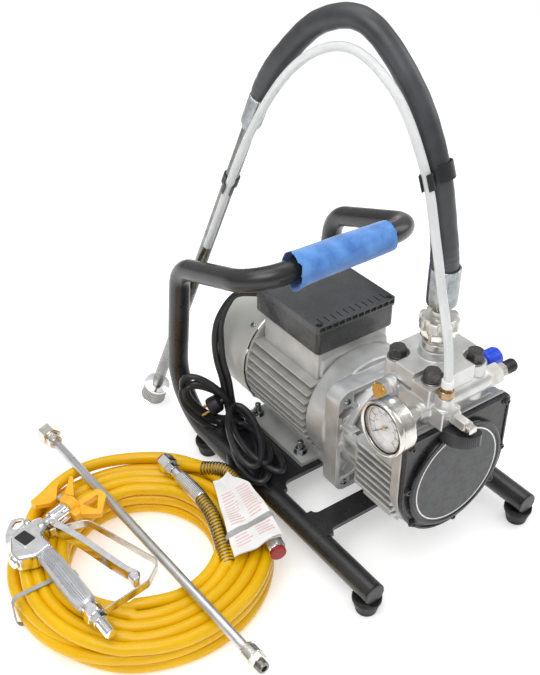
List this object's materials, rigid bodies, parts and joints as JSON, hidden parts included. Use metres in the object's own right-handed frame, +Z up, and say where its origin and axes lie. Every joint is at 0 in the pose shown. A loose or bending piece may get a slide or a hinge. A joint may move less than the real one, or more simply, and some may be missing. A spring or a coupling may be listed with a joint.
{
  "type": "airless paint sprayer",
  "caption": "Electric diaphragm paint sprayer on a bent-tube skid frame, with suction hose and pipe, gauge, coiled paint hose, spray gun and extension lance.",
  "frame": {"origin": "middle of the bounding box of everything, at floor level", "axes": "+Z up; -Y towards the pump's round front cover; +X towards the paint outlet, with the coiled hose, gun and lance on the -X side"},
  "size_m": [0.6162, 0.5427, 0.6413],
  "materials": {
    "black_paint": "satin powder coat",
    "cast_alloy": "cast, bead blasted",
    "silver_paint": "light grey paint on sheet",
    "dark_plastic": "fine textured moulding",
    "black_plastic": "moulded",
    "black_steel": "black oxide",
    "bright_steel": "machined",
    "plated_steel": "plated",
    "dull_steel": "plain",
    "brass": "machined",
    "rubber": "matte",
    "hose_rubber": "cloth-wrapped",
    "blue_fabric": "non-woven",
    "blue_plastic": "moulded",
    "clear_glass": "clear",
    "milky_plastic": "translucent tube",
    "yellow_plastic": "glossy hose cover",
    "orange_plastic": "moulded"
  },
  "bodies": {
    "machine": {"frame_tube": "black_paint", "front_cross_plate": "black_paint", "rear_cross_plate": "black_paint", "front_cover": "black_paint", "motor_housing": "cast_alloy", "motor_end_shield": "cast_alloy", "adapter_flange": "cast_alloy", "pump_housing": "cast_alloy", "pump_head": "cast_alloy", "fan_cowl": "silver_paint", "terminal_box_base": "dark_plastic", "terminal_box_lid": "dark_plastic", "tube_end_cap_left": "black_plastic", "tube_end_cap_right": "black_plastic", "head_bolt_1": "black_steel", "head_bolt_2": "black_steel", "head_bolt_3": "black_steel", "head_bolt_4": "black_steel", "rear_bearing": "bright_steel", "motor_bolt_1": "bright_steel", "motor_bolt_2": "bright_steel", "motor_bolt_3": "bright_steel", "motor_bolt_4": "bright_steel", "outlet_valve_body": "bright_steel", "relief_valve_stem": "bright_steel", "suction_port": "bright_steel", "gauge_case": "bright_steel", "stator_core": "dull_steel", "valve_plug": "brass", "return_fitting": "brass", "foot_front_left": "rubber", "foot_front_right": "rubber", "foot_rear_left": "rubber", "foot_rear_right": "rubber", "diaphragm": "rubber", "power_cable": "rubber", "handle_sleeve": "blue_fabric", "gauge_lens": "clear_glass"},
    "rotor": {"rotor_shaft": "dull_steel", "cooling_fan": "black_plastic", "eccentric": "dull_steel"},
    "piston": {"piston": "bright_steel"},
    "pressure_knob": {"pressure_knob": "blue_plastic"},
    "relief_lever": {"relief_lever": "black_plastic"},
    "gauge_needle": {"gauge_needle": "black_steel"},
    "outlet_cap": {"outlet_cap": "black_plastic"},
    "suction_set": {"union_nut": "bright_steel", "hose_ferrule_top": "plated_steel", "suction_hose": "hose_rubber", "hose_ferrule_bottom": "plated_steel", "suction_pipe": "dull_steel", "suction_strainer": "dull_steel", "return_tube": "milky_plastic", "tube_clip_upper": "black_plastic", "tube_clip_lower": "black_plastic"},
    "paint_hose": {"paint_hose": "yellow_plastic"},
    "gun": {"gun_body": "plated_steel"},
    "gun_trigger": {"gun_trigger": "plated_steel"},
    "tip_guard": {"tip_guard": "orange_plastic"},
    "lance": {"extension_lance": "bright_steel"}
  },
  "joints": [
    {"name": "rotor_spin", "type": "hinge", "parent": "machine", "child": "rotor", "pos_m": [0.1643, -0.1898, 0.14], "axis": [0, 1, 0], "continuous": true},
    {"name": "piston_stroke", "type": "slide", "parent": "machine", "child": "piston", "axis": [0, 0, 1], "range_m": [0, 0.008]},
    {"name": "pressure_knob_turn", "type": "hinge", "parent": "machine", "child": "pressure_knob", "pos_m": [0.2408, -0.1848, 0.2415], "axis": [1, 0, 0], "range_deg": [0, 270]},
    {"name": "relief_lever_flip", "type": "hinge", "parent": "machine", "child": "relief_lever", "pos_m": [0.1463, -0.2643, 0.2375], "axis": [0, 0, 1], "range_deg": [0, 90]},
    {"name": "gauge_needle_sweep", "type": "hinge", "parent": "machine", "child": "gauge_needle", "pos_m": [0.0573, -0.2138, 0.2475], "axis": [1, 0, 0], "range_deg": [0, 264]},
    {"name": "outlet_cap_off", "type": "slide", "parent": "machine", "child": "outlet_cap", "axis": [1, 0, 0], "range_m": [0, 0.03]},
    {"name": "suction_swivel", "type": "hinge", "parent": "machine", "child": "suction_set", "pos_m": [0.1643, -0.1798, 0.306], "axis": [0, 0, 1], "range_deg": [-25, 0], "deforming": ["return_tube"]},
    {"name": "paint_hose_aside", "type": "slide", "parent": "machine", "child": "paint_hose", "axis": [-1, 0, 0], "range_m": [0, 0.25]},
    {"name": "gun_lift", "type": "slide", "parent": "paint_hose", "child": "gun", "axis": [0, 0, 1], "range_m": [0, 0.15]},
    {"name": "trigger_pull", "type": "hinge", "parent": "gun", "child": "gun_trigger", "pos_m": [-0.2277, 0.0252, 0.0605], "axis": [0, 0, 1], "range_deg": [-13, 0]},
    {"name": "tip_turn", "type": "hinge", "parent": "gun", "child": "tip_guard", "pos_m": [-0.20753, 0.04684, 0.0605], "axis": [0.9549, 0.297, 0], "range_deg": [-10, 10]},
    {"name": "lance_lift", "type": "slide", "parent": "gun", "child": "lance", "axis": [0, 0, 1], "range_m": [0, 0.15]}
  ]
}
